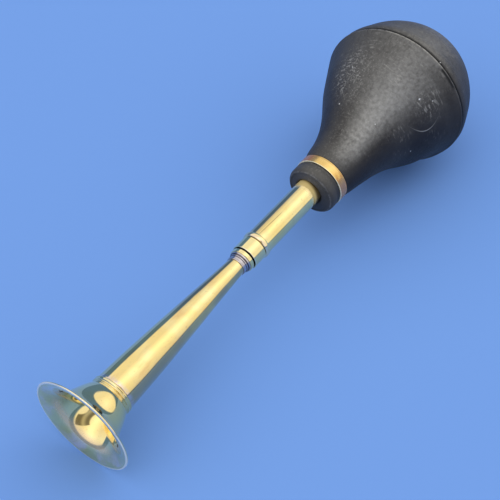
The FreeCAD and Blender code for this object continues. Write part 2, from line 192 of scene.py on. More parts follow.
def made_object(name, points, faces, plain):
    """An object from points in the horn's millimetres: mouth centre plus each length along its direction.
    The plain points, turned true, stay on the mesh as the attribute horn_mm, which a pattern can follow when
    the piece hangs or bends."""
    metres = mouth_centre + METRES * points @ np.stack([along, aside, upright])
    mesh = bpy.data.meshes.new(name)
    mesh.from_pydata(metres.tolist(), [], faces)
    mesh.polygons.foreach_set("use_smooth", np.ones(len(mesh.polygons), bool))
    kept = mesh.attributes.new("horn_mm", "FLOAT_VECTOR", "POINT")
    kept.data.foreach_set("vector", np.ascontiguousarray(plain, np.float32).ravel())
    mesh.update()
    piece = bpy.data.objects.new(name, mesh)
    bpy.context.scene.collection.objects.link(piece)
    return piece


class Shade:
    """One output among a material's nodes. Arithmetic adds Math nodes, and node adds any other kind."""

    def __init__(self, socket):
        self.socket = socket

    def node(self, kind, settings=None, inputs=None, output=0):
        """Adds a node: its settings first, then a value or a link for each named socket."""
        tree = self.socket.id_data
        made = tree.nodes.new("ShaderNode" + kind)
        for setting, value in (settings or {}).items():
            setattr(made, setting, value)
        for key, value in (inputs or {}).items():
            if isinstance(value, Shade):
                tree.links.new(value.socket, made.inputs[key])
            else:
                made.inputs[key].default_value = value
        return Shade(made.outputs[output])

    def maths(self, operation, other=0.0):
        return self.node("Math", {"operation": operation}, {0: self, 1: other})

    def __add__(self, other):
        return self.maths("ADD", other)

    def __sub__(self, other):
        return self.maths("SUBTRACT", other)

    def __mul__(self, other):
        return self.maths("MULTIPLY", other)

    def __truediv__(self, other):
        return self.maths("DIVIDE", other)

    def __rsub__(self, other):
        return self.node("Math", {"operation": "SUBTRACT"}, {0: other, 1: self})

    __radd__ = __add__
    __rmul__ = __mul__

    def rise(self, low, high):
        """A smooth step: 0 where this is at low, 1 where it is at high."""
        ends = {"Value": self, "From Min": low, "From Max": high}
        return self.node("MapRange", {"interpolation_type": "SMOOTHSTEP"}, ends)

    def hump(self, middle, width):
        """1 at the middle, falling smoothly to 0 at width on either side."""
        return 1 - (self - middle).maths("ABSOLUTE").rise(0.0, width)

    def noise(self, scale, detail=2.0):
        """Soft noise about 0.5, on this vector times the scale."""
        return self.node("TexNoise", None, {"Vector": self, "Scale": scale, "Detail": detail})

    def stretched(self, x, y, z):
        """This vector with its three parts scaled apart."""
        return self.node("VectorMath", {"operation": "MULTIPLY"}, {0: self, 1: (x, y, z)})

    def part(self, index):
        """One of the three parts of this vector."""
        return self.node("SeparateXYZ", None, {0: self}, output=index)

    def dotted(self, other):
        """The dot product of this vector with a plain one."""
        return self.node("VectorMath", {"operation": "DOT_PRODUCT"}, {0: self, 1: other}, output=1)


def tint(share, start, end):
    """The colour that goes from start to end with the share."""
    colours = [c if isinstance(c, Shade) else (*c, 1.0) for c in (start, end)]
    return share.node("Mix", {"data_type": "RGBA"}, {0: share, 6: colours[0], 7: colours[1]}, output=2)


class Finish:
    """A material: its shader's plain values, and its pattern's place in the horn's millimetres."""

    def __init__(self, name, attribute=None, **plain):
        self.material = bpy.data.materials.new(name)
        self.material.use_nodes = True
        self.shader = self.material.node_tree.nodes["Principled BSDF"]
        for key, value in plain.items():
            self.shader.inputs[key.replace("_", " ")].default_value = value
        start = Shade(self.shader.outputs[0])
        if attribute:
            self.place = start.node("Attribute", {"attribute_name": attribute}, output=1)
        else:
            lean = math.atan2(along[2], along[0])
            turn = {"Location": tuple(mouth_centre), "Rotation": (0.0, -lean, 0.0), "Scale": (METRES,) * 3}
            coordinates = start.node("TexCoord", output=3)
            self.place = start.node("Mapping", {"vector_type": "TEXTURE"}, {"Vector": coordinates, **turn})
        self.x, self.across, self.up = (self.place.part(index) for index in range(3))
        self.angle = self.across.maths("ARCTAN2", self.up)
        self.off_axis = (self.across * self.across + self.up * self.up).maths("SQRT")

    def link(self, **varying):
        for key, shade in varying.items():
            shade.socket.id_data.links.new(shade.socket, self.shader.inputs[key.replace("_", " ")])

    def bump(self, height, depth):
        """Normals from a height between 0 and 1 that stands for depth in millimetres."""
        normal = height.node("Bump", None, {"Height": height, "Distance": depth * METRES, "Strength": 1.0})
        self.link(Normal=normal)

    def on(self, piece):
        piece.data.materials.clear()
        piece.data.materials.append(self.material)


spot_brown = (0.42, 0.27, 0.12)
smudge_tan = (0.72, 0.50, 0.28)
polish_depth = 0.0015
tarnish_share = 0.85


def brass(name, gold, warm, lines, sheen=0.07, lacquer=1.0, marks=(), dull=None):
    """Polished brass under clear lacquer: two golds in soft clouds, fine polishing lines and dull spots.

    lines are how finely the polishing lines vary along the horn and across it, per millimetre. marks are
    pairs of a colour and a function of the finish that gives the share of it at each place, and dull gives
    the share of a tarnish that no longer shines as metal."""
    finish = Finish(name, Metallic=1.0, Coat_Weight=lacquer, Coat_IOR=1.6, Coat_Roughness=0.05)
    cloud = finish.place.noise(0.045, 3.0)
    streak = finish.place.stretched(lines[0], lines[1], lines[1]).noise(1.0, 4.0)
    spots = finish.place.noise(0.55, 2.0).rise(0.66, 0.74)
    smudge = finish.place.noise(0.16, 4.0).rise(0.5, 0.72)
    colour = tint(cloud.rise(0.35, 0.65), gold, warm)
    colour = tint(spots * 0.35, colour, spot_brown)
    colour = tint(smudge * 0.16, colour, smudge_tan)
    for mark, share in marks:
        colour = tint(share(finish), colour, mark)
    finish.link(Base_Color=colour, Roughness=sheen + 0.09 * (streak - 0.5) + 0.08 * smudge + 0.06 * spots)
    if dull:
        finish.link(Metallic=1 - tarnish_share * dull(finish))
    finish.bump(streak, polish_depth)
    return finish


pale_gold = (0.97, 0.80, 0.36)
deep_gold = (0.96, 0.72, 0.25)
flare_line = smooth_line(
    between(bell_sheet, flare_back, flare_back_radius, roll_circle, flare_shares), flare_steps,
    flare_mouth_slope, flare_end_slope)
inside_line = offset_line(flare_line, -bell_sheet)
inside_line[0] = 0.0, roll_circle
roll_centre = (roll_radius, roll_circle)
roll_out = ring_arc(roll_centre, roll_radius, math.pi, math.pi - roll_turn, roll_steps)
roll_in = ring_arc(roll_centre, roll_radius - bell_sheet, math.pi - roll_turn, math.pi, roll_inner_steps)
spigot = [(flare_back, spigot_radius), (joint_meet, spigot_radius), (joint_meet, spigot_radius - bell_sheet),
          (flare_back - bell_sheet, spigot_radius - bell_sheet)]
bell_outline = np.concatenate([inside_line[::-1], roll_out, roll_in, flare_line, spigot])
bell = turned("bell_spun_flare", bell_outline, fine_round)
haze_start, haze_full = 21.0, 31.0
tan_radius, tan_reach = 25.0, 3.2
tan_side = (0.5, -0.87)
milky = (0.78, 0.72, 0.76)
yellowed = (0.88, 0.66, 0.38)
rim_highlight_pale = (0.95, 0.90, 0.76)
slot_shade_brown = (0.16, 0.11, 0.06)


def bell_haze(bell):
    """Clouds where the lacquer has gone milky, towards the mouth."""
    cloud = bell.place.noise(0.075, 4.0).rise(0.42, 0.66)
    inside_roll = bell.off_axis.rise(roll_circle - 1.0, roll_circle - 2.5)
    return bell.off_axis.rise(haze_start, haze_full) * inside_roll * cloud


def tan_ring(bell):
    """A tan ring low inside the flare, round its throat, where the lacquer has yellowed."""
    below = ((tan_side[0] * bell.across + tan_side[1] * bell.up) / bell.off_axis).rise(0.1, 0.7)
    return bell.off_axis.hump(tan_radius, tan_reach) * below


def painted_rim_highlight(bell):
    """The front of the roll, painted pale and less metallic: a painted highlight."""
    return bell.x.rise(0.7, 0.35) * bell.off_axis.rise(roll_circle - 0.9, roll_circle - 0.4)


def rim_slot_shade(bell):
    """The dark line behind the roll: painted shade in the slot, with some grime."""
    return bell.x.rise(0.95, 1.2) * bell.off_axis.rise(roll_circle - 0.7, roll_circle - 0.3) * 0.8


# The pale front of the roll is a painted highlight, and the dark line behind it is painted shade with some
# grime.
bell_marks = [(milky, lambda bell: bell_haze(bell) * 0.8), (yellowed, lambda bell: tan_ring(bell) * 0.85),
              (rim_highlight_pale, painted_rim_highlight), (slot_shade_brown, rim_slot_shade)]
brass("spun_bell_brass", pale_gold, deep_gold, (2.2, 0.12), marks=bell_marks,
      dull=lambda bell: 0.3 * bell_haze(bell) + 0.45 * tan_ring(bell) + 0.8 * painted_rim_highlight(bell)).on(bell)
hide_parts("bell_flare")
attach(bell, "trumpet")


# Rim wire: plain brass wire closed into a ring, over which the bell's edge is rolled. It stiffens the mouth
# and shows only in the slot behind the roll.
brass("rim_wire_brass", pale_gold, deep_gold, (0.4, 0.4), sheen=0.3).on(frame["nodes"]["rim_wire"])


# Joint band: a narrow brass ring turned with small ridges, slipped over the butted ends of bell and trumpet
# and soldered there.
band_front, band_back, band_radius = reach("joint_band")
ridge_shares = [(0.0, 0.0), (0.05, 0.55), (0.13, 0.8), (0.21, 0.5), (0.29, 0.1), (0.36, 0.3), (0.45, 0.92),
                (0.55, 0.98), (0.64, 0.7), (0.70, 0.66), (0.79, 0.96), (0.89, 1.0), (0.96, 0.6), (1.0, 0.0)]
ridge_foot = 0.8
ridge_height = 0.85
ridge_steps = 80
band_pale = (0.90, 0.76, 0.38)
band_warm = (0.90, 0.68, 0.26)
band_low = band_radius - ridge_foot
ridges = smooth_line([(band_front + (band_back - band_front) * far, band_low + ridge_height * high)
                      for far, high in ridge_shares], ridge_steps)
band_outline = np.concatenate([ridges, [(band_back, spigot_radius), (band_front, spigot_radius)]])
joint_ring = turned("joint_band_ring", band_outline, fine_round)
brass("joint_band_brass", band_pale, band_warm, (3.0, 0.15)).on(joint_ring)
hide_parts("joint_band")
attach(joint_ring, "trumpet")


# Trumpet: sheet brass rolled into a long taper, brazed along its seam, drawn smooth and polished. Its wide
# end butts against the bell's spigot, and its narrow end is soldered into the collar.
trumpet_wall = 0.7
trumpet_wide = 14.3
trumpet_narrow = 6.5
trumpet_shares = [(0.0, 1.0), (0.2, 0.86), (0.446, 0.62), (0.69, 0.34), (0.853, 0.16), (1.0, 0.0)]
taper_steps = 150
hand_wave = 0.025
hand_wave_rows = [(9.0, 2, 0.0, 1.0), (5.3, -3, 1.0, 1.0), (17.0, 1, 0.0, 0.6)]
trumpet_start = band_back
trumpet_back = reach("trumpet_cone")[1]
trumpet_end = reach("stepped_collar")[0]
taper = smooth_line(
    between(trumpet_start, trumpet_end, trumpet_narrow, trumpet_wide, trumpet_shares), taper_steps)
bore = taper[::-1] - (0.0, trumpet_wall)
trumpet_outline = np.concatenate([
    [(joint_meet, spigot_radius), (trumpet_start, spigot_radius)], taper, [(trumpet_back, trumpet_narrow)],
    [(trumpet_back, trumpet_narrow - trumpet_wall)], bore, [(joint_meet, spigot_radius - trumpet_wall)]])


def hand_drawn(x, radius, angle):
    """A turned place with the slight waves of sheet drawn by hand: the radius gains hand_wave times a sum of
    sines, each a share of the sine of x over a length plus some turns of the angle plus a start."""
    wave = sum(share * np.sin(x / length + turns * angle + start)
               for length, turns, start, share in hand_wave_rows)
    return plain_turn(x, radius + hand_wave * wave, angle)


trumpet = turned("trumpet_taper", trumpet_outline, fine_round, hand_drawn)
brown_lacquer = (0.44, 0.33, 0.18)
honey = (0.95, 0.66, 0.19)
amber = (0.80, 0.46, 0.15)
band_reflection_lilac = (0.74, 0.62, 0.62)
honey_place, honey_reach = 112.0, 60.0
brown_start, brown_full = 80.0, 115.0


def browned(pipe, start, full):
    """Where the lacquer has browned down one side of a tube, between two angles, but not underneath."""
    return pipe.angle.rise(start, full) * pipe.angle.maths("ABSOLUTE").rise(3.1, 2.3)


def honey_clouds(cone):
    """Warmer clouds about the middle of the taper."""
    return cone.x.hump(honey_place, honey_reach) * cone.place.noise(0.06, 3.0).rise(0.3, 0.6) * 0.8


def amber_runs(cone):
    """Broad patches drawn out along the taper, where the lacquer has aged most."""
    return cone.place.stretched(0.035, 0.17, 0.17).noise(1.0, 3.0).rise(0.52, 0.68) * 0.5


def painted_band_reflection(cone):
    """A lilac-grey patch beside the joint band: a painted reflection."""
    cloud = cone.place.noise(0.5, 2.0).rise(0.25, 0.6)
    return cone.x.rise(trumpet_start + 4.0, trumpet_start + 0.6) * cloud * 0.7


trumpet_marks = [
    (brown_lacquer, lambda cone: browned(cone, -0.70, -1.20) * 0.8),
    (brown_lacquer, lambda cone: browned(cone, -0.10, 0.30) * cone.x.rise(brown_start, brown_full) * 0.8),
    (honey, honey_clouds), (amber, amber_runs), (band_reflection_lilac, painted_band_reflection)]
brass("trumpet_brass", pale_gold, deep_gold, (0.05, 1.4), marks=trumpet_marks).on(trumpet)
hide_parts("trumpet_cone")
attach(trumpet, "trumpet")


# Stepped collar: turned from brass bar and nickelled, with fine steps outside, a socket for the trumpet's
# end in front, and a male thread of 1 mm pitch behind, onto which the union nut screws.
step_shares = [(0.16, 0.3), (0.5, 0.2), (0.66, 0.44), (0.76, 0.3), (1.0, 0.74)]
thread_radius = 7.65
thread_pitch = 1.0
thread_depth = 0.45
thread_slack = 0.12
thread_start = 0.3
thread_round = 192
tooth_step = 0.1
collar_passage = 4.6
collar_bore = 5.2
collar_edge = 0.14
solder_gap = 0.02
_, thread_end, _ = reach("stepped_collar")
collar_back, ring_back, ring_radius = reach("collar_ring")
plug_front = reach("reed_plug")[0]
nut_front = reach("coupling_nut")[0]


def rounded(corners, cut):
    """The closed outline with each corner P replaced by a short curve: from A to B on its two sides, both
    cut away from P, the points (1-t)(1-t)A + 2t(1-t)P + ttB. A support point lies beside each end."""
    corners = np.array(corners, float)
    before = np.roll(corners, 1, axis=0) - corners
    after = np.roll(corners, -1, axis=0) - corners
    lengths = np.minimum(np.hypot(*before.T), np.hypot(*after.T))
    cuts = np.minimum(cut, 0.4 * lengths)[:, None, None]
    before = (before / np.hypot(*before.T)[:, None])[:, None, :] * cuts
    after = (after / np.hypot(*after.T)[:, None])[:, None, :] * cuts
    t = np.linspace(0, 1, 6)[None, :, None]
    middle = corners[:, None, :]
    bend = (1 - t) ** 2 * (middle + before) + 2 * t * (1 - t) * middle + t ** 2 * (middle + after)
    spare = 1.2
    return np.concatenate([middle + spare * before, bend, middle + spare * after], axis=1).reshape(-1, 2)


def threaded(start, end, depth, sign):
    """A turned form with a screw thread between two places: the radius gains sign times depth times a
    triangle wave of x over the pitch plus the angle over a full turn, fading in over half a pitch."""
    def form(x, radius, angle):
        phase = x / thread_pitch + angle / (2 * math.pi)
        tooth = 2 * np.abs(phase - np.round(phase))
        fade = np.clip(2 * (x - start) / thread_pitch, 0, 1) * np.clip(2 * (end - x) / thread_pitch, 0, 1)
        on_thread = np.abs(radius - thread_radius) < thread_slack
        return plain_turn(x, radius + sign * depth * tooth * fade * on_thread, angle)
    return form


def filled(outline):
    """The outline with points added along its straight threaded run, a step apart, for the thread's teeth."""
    rows = []
    for first, second in zip(outline, np.roll(outline, -1, axis=0)):
        rows.append(first)
        level = abs(first[1] - second[1]) < same_place and abs(first[1] - thread_radius) < thread_slack
        if level and abs(second[0] - first[0]) > 4 * tooth_step:
            count = int(abs(second[0] - first[0]) / tooth_step)
            rows += list(np.linspace(first, second, count + 1)[1:-1])
    return np.array(rows)


socket_radius = trumpet_narrow + solder_gap
collar_corners = [(trumpet_end, socket_radius)]
step_start = trumpet_end
for step_share, height in step_shares:
    step_end = trumpet_end + (collar_back - trumpet_end) * step_share
    step_radius = trumpet_narrow + (ring_radius - trumpet_narrow) * height
    collar_corners += [(step_start, step_radius), (step_end, step_radius)]
    step_start = step_end
collar_corners += [(collar_back, thread_radius), (thread_end, thread_radius), (thread_end, collar_bore),
                   (plug_front, collar_bore), (plug_front, collar_passage), (trumpet_back, collar_passage),
                   (trumpet_back, socket_radius)]
collar_outline = filled(rounded(collar_corners, collar_edge))
collar = turned("collar_turned", collar_outline, thread_round,
                threaded(ring_back + thread_start, thread_end, thread_depth, -1))
step_lines = [trumpet_end + (collar_back - trumpet_end) * share for share, _ in step_shares[:-1]]
nickel_pale = (0.60, 0.55, 0.56)
nickel_dark = (0.50, 0.44, 0.48)
step_line_dark = (0.13, 0.10, 0.10)
greasy_brass = (0.44, 0.36, 0.24)
gap_shade_black = (0.06, 0.05, 0.05)


def painted_gap_shade(nickel):
    """Painted shade on the thread inside the narrow gap between the collar ring and the nut."""
    return nickel.x.rise(collar_back, ring_back) * nickel.x.rise(ring_back + 1.5, ring_back + 0.9)


# A dark line is painted at each step of the collar.
collar_marks = [(step_line_dark, lambda nickel, line=line: nickel.x.hump(line, 0.3) * 0.65)
                for line in step_lines]
collar_marks += [(greasy_brass, lambda nickel: nickel.x.rise(ring_back, ring_back + 1.0)),
                 (gap_shade_black, painted_gap_shade)]
brass("collar_nickel", nickel_pale, nickel_dark, (3.0, 0.2), sheen=0.22, lacquer=0.0,
      marks=collar_marks).on(collar)
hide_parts("stepped_collar")
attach(collar, "trumpet")


# Collar ring: a plain brass ring pushed over the collar's thread up to its last step. The nut comes to meet
# it, and leaves a narrow gap, whose shade is painted dark on the ring's back edge.
ring_edge = 0.3
ring_bore = thread_radius + solder_gap
ring_gap_shade = (0.10, 0.07, 0.03)
gold_ring = turned("collar_gold_ring", rounded([
    (collar_back, ring_bore), (collar_back, ring_radius), (ring_back, ring_radius), (ring_back, ring_bore)],
    ring_edge), fine_round)
# The ring's back edge is painted dark: painted shade from the gap.
ring_marks = [(ring_gap_shade, lambda ring: ring.x.rise(ring_back - 0.15, ring_back) * 0.95)]
brass("collar_ring_brass", pale_gold, deep_gold, (3.0, 0.2), marks=ring_marks).on(gold_ring)
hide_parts("collar_ring")
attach(gold_ring, "trumpet")


# Reed: a brass plug, a half-round trough and a springy tongue under a clamp with two screws. All of it lies
# inside the collar and the tube, left as it was machined.
plain_brass, plain_warm = (0.80, 0.62, 0.30), (0.76, 0.56, 0.27)
steel_pale, steel_dark = (0.56, 0.56, 0.57), (0.48, 0.47, 0.46)
reed_brass = brass("reed_brass", plain_brass, plain_warm, (0.3, 0.3), sheen=0.28, lacquer=0.0)
for node in ("reed_plug", "reed_shallot", "reed_tongue", "reed_clamp"):
    reed_brass.on(frame["nodes"][node])
screw_steel = brass("screw_steel", steel_pale, steel_dark, (1.5, 1.5), sheen=0.32, lacquer=0.0)
screw_steel.on(frame["nodes"]["reed_screws"])


# Sealing washer: a ring cut from oiled leather. The nut squeezes it between the end of the collar's thread
# and the tail's flange, so that no air is lost there.
leather_dark, leather_pale = (0.16, 0.085, 0.04), (0.28, 0.16, 0.08)
pore_depth = 0.08
leather = Finish("oiled_leather", Metallic=0.0, Roughness=0.6)
pores = leather.place.noise(3.0, 4.0)
leather.link(Base_Color=tint(pores.rise(0.35, 0.65), leather_dark, leather_pale))
leather.bump(pores, pore_depth)
leather.on(frame["nodes"]["sealing_washer"])


# Swivel tail: a turned brass flange and neck. The nut's lip pulls on the flange, and the neck is soldered
# into the tube's bead ring.
tail_warm = (0.82, 0.60, 0.25)
brass("tail_brass", pale_gold, tail_warm, (1.5, 0.2), sheen=0.24).on(frame["nodes"]["swivel_tail"])


# Union nut: a plain brass sleeve with a threaded bore in front, a chamber for the tail's flange, and a lip
# at its back that runs on the tail's neck. Its edges are lightly chamfered.
nut_lip = 2.2
chamber_radius = 8.45
lip_radius = 7.05
nut_thread = 7.7
nut_edge = 0.35
washer_cover = 0.15
_, nut_back, nut_radius = reach("coupling_nut")
chamber_start = reach("sealing_washer")[1] - washer_cover
nut_outline = filled(rounded([
    (nut_front, nut_thread), (nut_front, nut_radius), (nut_back, nut_radius), (nut_back, lip_radius),
    (nut_back - nut_lip, lip_radius), (nut_back - nut_lip, chamber_radius), (chamber_start, chamber_radius),
    (chamber_start, nut_thread)], nut_edge))
nut = turned("union_nut_sleeve", nut_outline, fine_round, threaded(nut_front, chamber_start, thread_depth, 1))
edge_highlight_pale = (0.97, 0.88, 0.74)
nut_gap_shade = (0.05, 0.035, 0.02)


def painted_edge_highlight(sleeve):
    """The nut's front edge, painted pale: a painted highlight."""
    return sleeve.x.hump(nut_front + 0.3, 0.3) * sleeve.off_axis.rise(nut_radius - 0.3, nut_radius)


nut_marks = [
    (edge_highlight_pale, painted_edge_highlight),
    # The nut's front face below its edge is painted dark: painted shade from the gap.
    (nut_gap_shade, lambda sleeve: sleeve.off_axis.rise(nut_radius - 0.35, nut_radius - 0.6) * 0.95)]
brass("union_nut_brass", pale_gold, deep_gold, (2.0, 0.2), marks=nut_marks).on(nut)
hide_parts("coupling_nut")
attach(nut, "nut")


# Bead ring: a raised brass ring soldered on the tube's front end, its crown rounded by turning. A web inside
# it holds the swivel tail.
bead_side = 0.45
crown_half, crown_fall = 0.9, 0.08
crown_steps = 24
bead_highlight_pink = (0.95, 0.74, 0.52)
bead_web = 1.4
tube_radius = 9.525
tail_radius = 7.02
bead_front, bead_back, bead_radius = reach("tube_bead")
tube_start = bead_front + bead_web
bead_middle = (bead_front + bead_back) / 2
bead_bore = tube_radius + solder_gap
crown_low = bead_radius - crown_fall
crown = smooth_line([(bead_front, tube_radius + bead_side), (bead_middle - crown_half, crown_low),
                     (bead_middle, bead_radius), (bead_middle + crown_half, crown_low),
                     (bead_back, tube_radius + bead_side)], crown_steps)
bead_outline = np.concatenate([crown, [
    (bead_back, bead_bore), (tube_start, bead_bore), (tube_start, tail_radius), (bead_front, tail_radius)]])
bead = turned("tube_bead_ring", bead_outline, fine_round)
# The bead's front half is painted pale pink: a painted highlight, with a pink tint.
bead_marks = [(bead_highlight_pink, lambda bead: bead.x.rise(bead_middle + 0.6, bead_middle - 0.6) * 0.7)]
brass("tube_bead_brass", pale_gold, deep_gold, (3.0, 0.2), marks=bead_marks).on(bead)
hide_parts("tube_bead")
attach(bead, "tube")


# Straight tube: drawn three-quarter inch brass tube, polished lengthways, with two fine draw marks on top
# and a small rolled barb inside the rubber neck that keeps the bulb on. It has browned beside the rubber, where
# a painted reflection of the lit lip is laid on in dull gold, and the lip's shadow is painted dark.
tube_wall = 0.8
barb_height = 0.7
barb_width = 3.0
barb_setback = 1.0
_, tube_end, _ = reach("bulb_tube")
barb_back = tube_end - barb_setback
barb_steps, tube_steps = 14, 40
barb = [(barb_back - barb_width * (1 - far), tube_radius + barb_height * math.sin(math.pi * far))
        for far in np.linspace(0, 1, barb_steps)]
tube_outline = np.concatenate([
    np.linspace((tube_start, tube_radius), (barb_back - barb_width, tube_radius), tube_steps)[:-1], barb,
    [(tube_end, tube_radius), (tube_end, tube_radius - tube_wall), (tube_start, tube_radius - tube_wall)]])
tube = turned("bulb_tube_drawn", tube_outline, fine_round)
draw_mark = math.radians(-6)
draw_true, draw_drift = 190, 0.004
draw_fade, draw_full = 204.0, 198.0
sulphur_start, sulphur_full = 9.0, 3.5
lip_slant, lip_blur = 2.0, 1.5
draw_brown = (0.22, 0.14, 0.06)
sulphur_and_reflection_gold = (0.98, 0.74, 0.30)
lip_shadow_brown = (0.10, 0.06, 0.02)
neck_front, seam_place, girth_radius = reach("bulb_front")


def draw_lines(tube):
    """Two fine lines side by side that the die has left along the tube, from the bead on."""
    turn = tube.angle + (tube.x - draw_true) * draw_drift
    lines = turn.hump(draw_mark, 0.035) + 0.5 * turn.hump(draw_mark + 0.12, 0.03)
    return lines * tube.x.rise(bead_back, bead_back + 1.0) * tube.x.rise(draw_fade, draw_full) * 0.9


def sulphur_and_lip_reflection(tube):
    """Beside the bulb's lip, where the rubber's sulphur has browned the tube, also a painted reflection of the
    lit lip.
    """
    return tube.x.rise(neck_front - sulphur_start, neck_front - sulphur_full)


def painted_lip_shadow(tube):
    """Painted shadow: a dark line where the tube enters the lip, a little further out on one side."""
    return (tube.x - lip_slant * tube.angle).rise(neck_front - lip_blur, neck_front + lip_blur) * 0.9


tube_marks = [(brown_lacquer, lambda tube: browned(tube, -0.03, 0.22) * 0.65), (draw_brown, draw_lines),
              (sulphur_and_reflection_gold, sulphur_and_lip_reflection), (lip_shadow_brown, painted_lip_shadow)]
brass("drawn_tube_brass", pale_gold, deep_gold, (0.05, 1.6), marks=tube_marks, dull=sulphur_and_lip_reflection).on(tube)
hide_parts("bulb_tube")
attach(tube, "tube")


# Neck band: a strip of brass bent round the rubber neck, its outer end lapped over underneath and
# soldered. It lies a little aside with the rubber. It has browned down both sides, and its front edge is
# painted pale as a painted highlight.
band_thickness = 0.9
lap_turn = math.radians(22)
lap_at = math.radians(180)
clip_front, clip_back, _ = reach("neck_band")
clip_lap = 0.8
clip_edge = 0.26
ramp_share = 0.6
strip_stations = 300
neck_aside = -1.2
seat_radius = reach("neck_band")[2] - band_thickness - clip_lap
across = rounded([(clip_front, seat_radius), (clip_front, seat_radius + band_thickness),
                  (clip_back, seat_radius + band_thickness), (clip_back, seat_radius)], clip_edge)


def eased(value, low, high):
    """A smooth step: with s the share of the way from low to high, kept between 0 and 1, ss(3-2s)."""
    share = np.clip((value - low) / (high - low), 0, 1)
    return share * share * (3 - 2 * share)


def lapped_strip(name, section, turn, start, rise):
    """A strip wound once round the neck and a little over: the section's radius gains rise before the last
    lap_turn of the turn, as a smooth step, so its end lies on its start. A flat face closes each end."""
    stations = np.linspace(0, turn, strip_stations)
    lift = rise * eased(stations, turn - (1 + ramp_share) * lap_turn, turn - lap_turn)
    radius = section[None, :, 1] + lift[:, None]
    angle = start + stations[:, None]
    x = np.broadcast_to(section[None, :, 0], radius.shape)
    points = np.stack([x, radius * np.sin(angle) + neck_aside, radius * np.cos(angle)], axis=-1)
    points = points.reshape(-1, 3)
    numbers = np.arange(len(points)).reshape(len(stations), len(section))
    near, far = numbers[:-1], numbers[1:]
    faces = np.stack([near, np.roll(near, -1, axis=1), np.roll(far, -1, axis=1), far], axis=-1)
    faces = faces.reshape(-1, 4).tolist()
    faces += [numbers[0][::-1].tolist(), numbers[-1].tolist()]
    return made_object(name, points, faces, points)


clip = lapped_strip("neck_band_strip", across, 2 * math.pi + lap_turn, lap_at - lap_turn / 2, band_thickness)
clip_gold, clip_warm = (0.92, 0.66, 0.26), (0.84, 0.52, 0.15)
left_brown = (0.34, 0.15, 0.07)
copper_stain = (0.55, 0.28, 0.10)
right_brown = (0.36, 0.21, 0.13)
clip_highlight_pale = (1.0, 0.90, 0.62)
back_brown = (0.50, 0.30, 0.12)


def left_down(strip):
    """The strip's way down on the left side, where it has browned."""
    return strip.angle.rise(0.05, 0.5)


def right_down(strip):
    """The strip's way down on the right side, where it has browned."""
    return strip.angle.rise(-0.8, -1.3)


def stained(strip):
    """Coppery clouds where the browning starts on the right side."""
    return strip.angle.hump(-0.95, 0.3) * strip.place.noise(0.4, 2.0).rise(0.35, 0.6) * 0.8


clip_marks = [
    (left_brown, lambda strip: left_down(strip) * 0.95), (copper_stain, stained),
    (right_brown, lambda strip: right_down(strip) * 0.95),
    # Painted highlight along the strip's front edge.
    (clip_highlight_pale, lambda strip: strip.x.rise(clip_front + 0.55, clip_front + 0.2)),
    (back_brown, lambda strip: strip.x.hump(clip_back - 0.9, 0.6) * 0.6)]
brass("clip_brass", clip_gold, clip_warm, (0.8, 0.25), sheen=0.26, lacquer=0.0, marks=clip_marks,
      dull=lambda strip: left_down(strip) + right_down(strip)).on(clip)
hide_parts("neck_band")
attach(clip, "tube")


# Bulb, front half: moulded black rubber. A thick lip and a seat for the clip, then a neck that flares to the
# girth, where a seam lip stands proud of the rear half. It is dusty, scuffed and speckled with age, and its top
# carries a painted sheen and is painted lighter as if lit.
neck_mouth_radius = 10.4
neck_mouth_depth = 2.0
neck_face_radius = 16.9
neck_face_fall = 0.35
neck_lip_radius = seat_radius + 0.5
shoulder_radius = seat_radius + 0.4
seam_lip_width = 2.4
seam_lip_height = 0.5
rubber_wall = 4.0
girth_aside = 3.4
lean_start, lean_end = 263.6, 317.7
droop, yaw = 0.076, 0.041
dent_depth = 2.6
dent_place, dent_reach = 338.0, 12.0
dent_angle, dent_spread = math.radians(-128), math.radians(24)
front_shares = [(0.0, 1.0), (0.06, 0.965), (0.15, 0.929), (0.24, 0.879), (0.33, 0.816), (0.42, 0.734),
                (0.51, 0.635), (0.6, 0.518), (0.69, 0.391), (0.78, 0.273), (0.88, 0.148), (0.95, 0.06),
                (1.0, 0.0)]
seat_room = 0.5
flank_steps, bend_steps, face_steps, lip_steps = 150, 14, 24, 16
hollow_from = 272
throat_run, throat_rise = 5, 3
bulb_end = reach("bulb_rear")[1]
seat_front = clip_front - seat_room
seat_back = clip_back + seat_room
flank_end = seam_place - seam_lip_width
crest = girth_radius - seam_lip_height
flank = smooth_line(between(seat_back, flank_end, crest, shoulder_radius, front_shares), flank_steps)
hollow = flank[flank[:, 0] > hollow_from] - (0.0, rubber_wall)
bore_end = tube_end + 2
throat = smooth_line([(bore_end, tube_radius), (bore_end + throat_run, tube_radius + throat_rise),
                      tuple(hollow[0])], bend_steps)
aside_from, aside_full = tube_radius + 0.2, neck_mouth_radius + 1.5
less_lean = 0.6


def hanging(x, radius, angle):
    """A turned place on the bulb, whose rubber neck has bent under its weight. By a smooth step of x it lies
    aside, and its sections lean: x gains droop times the height, less yaw times the way across, and less
    of both towards the end. The bore stays true. A dent shaped as a bell curve in x and the angle presses
    one flank in, and no point goes below the floor."""
    bent = eased(x, lean_start, lean_end)
    off = np.mod(angle - dent_angle + math.pi, 2 * math.pi) - math.pi
    dent = dent_depth * np.exp(-((x - dent_place) / dent_reach) ** 2 - (off / dent_spread) ** 2)
    radius = radius - dent * eased(radius, tube_radius, neck_lip_radius)
    _, across_by, up_by = plain_turn(x, radius, angle)
    aside_by = (neck_aside + (girth_aside - neck_aside) * bent) * eased(radius, aside_from, aside_full)
    tilt = bent * (1 - less_lean * eased(x, seam_place, bulb_end))
    x = x + tilt * (droop * up_by - yaw * across_by)
    floor = -(mouth_centre[2] / METRES + x * along[2]) / upright[2]
    return x, across_by + aside_by, np.maximum(up_by, floor)


